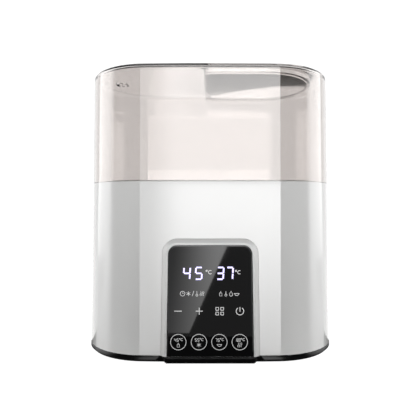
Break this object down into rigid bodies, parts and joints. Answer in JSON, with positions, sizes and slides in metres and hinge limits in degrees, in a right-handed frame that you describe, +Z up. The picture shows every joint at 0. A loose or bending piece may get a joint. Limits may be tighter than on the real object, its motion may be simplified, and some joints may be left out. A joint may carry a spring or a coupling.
{
  "type": "bottle warmer",
  "caption": "Oval countertop baby bottle warmer: white housing on a black base, sloping touch panel in front, clear lift-off cover, lift-out basket over a heated tank.",
  "frame": {"origin": "on the standing surface, under the middle of the object", "axes": "+Z up, the control panel faces -Y, +X to the right seen from the front"},
  "size_m": [0.2342, 0.129, 0.2615],
  "materials": {
    "clear_cover": "clear polished",
    "white_plastic": "satin gloss",
    "bezel_plastic": "gloss",
    "black_glass": "polished",
    "black_plastic": "satin",
    "rubber": "matt",
    "screw_steel": "zinc plated",
    "tank_plastic": "satin",
    "silicone": "matt",
    "plate_steel": "brushed",
    "clamp_steel": "zinc plated",
    "element_steel": "heat tinted",
    "terminal_brass": "plain",
    "cutout_body": "phenolic",
    "fuse_aluminium": "plain",
    "sensor_steel": "plain",
    "shield_aluminium": "mill",
    "basket_plastic": "satin",
    "board_green": "solder mask",
    "display_plastic": "matt",
    "spring_steel": "plain",
    "ribbon_grey": "vinyl",
    "plug_nylon": "nylon",
    "relay_blue": "moulded",
    "capacitor_yellow": "moulded",
    "capacitor_sleeve": "shrunk sleeve",
    "transformer_ferrite": "ferrite and tape",
    "buzzer_black": "moulded",
    "fuse_glass": "clear",
    "terminal_green": "moulded",
    "inlet_black": "moulded",
    "pin_brass": "nickel plated",
    "lead_sleeve": "vinyl",
    "glass_braid": "braided sleeve"
  },
  "bodies": {
    "housing": {"outer_housing": "white_plastic", "panel_bezel": "bezel_plastic", "control_glass": "black_glass", "base_tray": "black_plastic", "rubber_feet": "rubber", "base_screws": "screw_steel", "tank_screws": "screw_steel", "clamp_screws": "screw_steel", "touch_board_screws": "screw_steel", "power_board_screws": "screw_steel", "water_tank": "tank_plastic", "plate_gasket": "silicone", "heating_plate": "plate_steel", "clamp_ring": "clamp_steel", "heating_element": "element_steel", "heater_terminals": "terminal_brass", "thermal_cutout": "cutout_body", "thermal_fuse": "fuse_aluminium", "temperature_sensor": "sensor_steel", "heat_shield": "shield_aluminium", "touch_board": "board_green", "power_board": "board_green", "digit_display": "display_plastic", "touch_springs": "spring_steel", "ribbon_cable": "ribbon_grey", "ribbon_plugs": "plug_nylon", "relay": "relay_blue", "safety_capacitor": "capacitor_yellow", "smoothing_capacitors": "capacitor_sleeve", "transformer": "transformer_ferrite", "buzzer": "buzzer_black", "mains_fuse": "fuse_glass", "terminal_block": "terminal_green", "power_inlet": "inlet_black", "inlet_pins": "pin_brass", "inlet_leads": "lead_sleeve", "heater_leads": "glass_braid"},
    "cover": {"clear_cover": "clear_cover"},
    "basket": {"bottle_basket": "basket_plastic", "basket_deck": "basket_plastic", "basket_handle": "basket_plastic"}
  },
  "joints": [
    {"name": "cover_lift", "type": "slide", "parent": "housing", "child": "cover", "axis": [0, 0, 1], "range_m": [0, 0.11]},
    {"name": "basket_lift", "type": "slide", "parent": "housing", "child": "basket", "axis": [0, 0, 1], "range_m": [0, 0.1]}
  ]
}
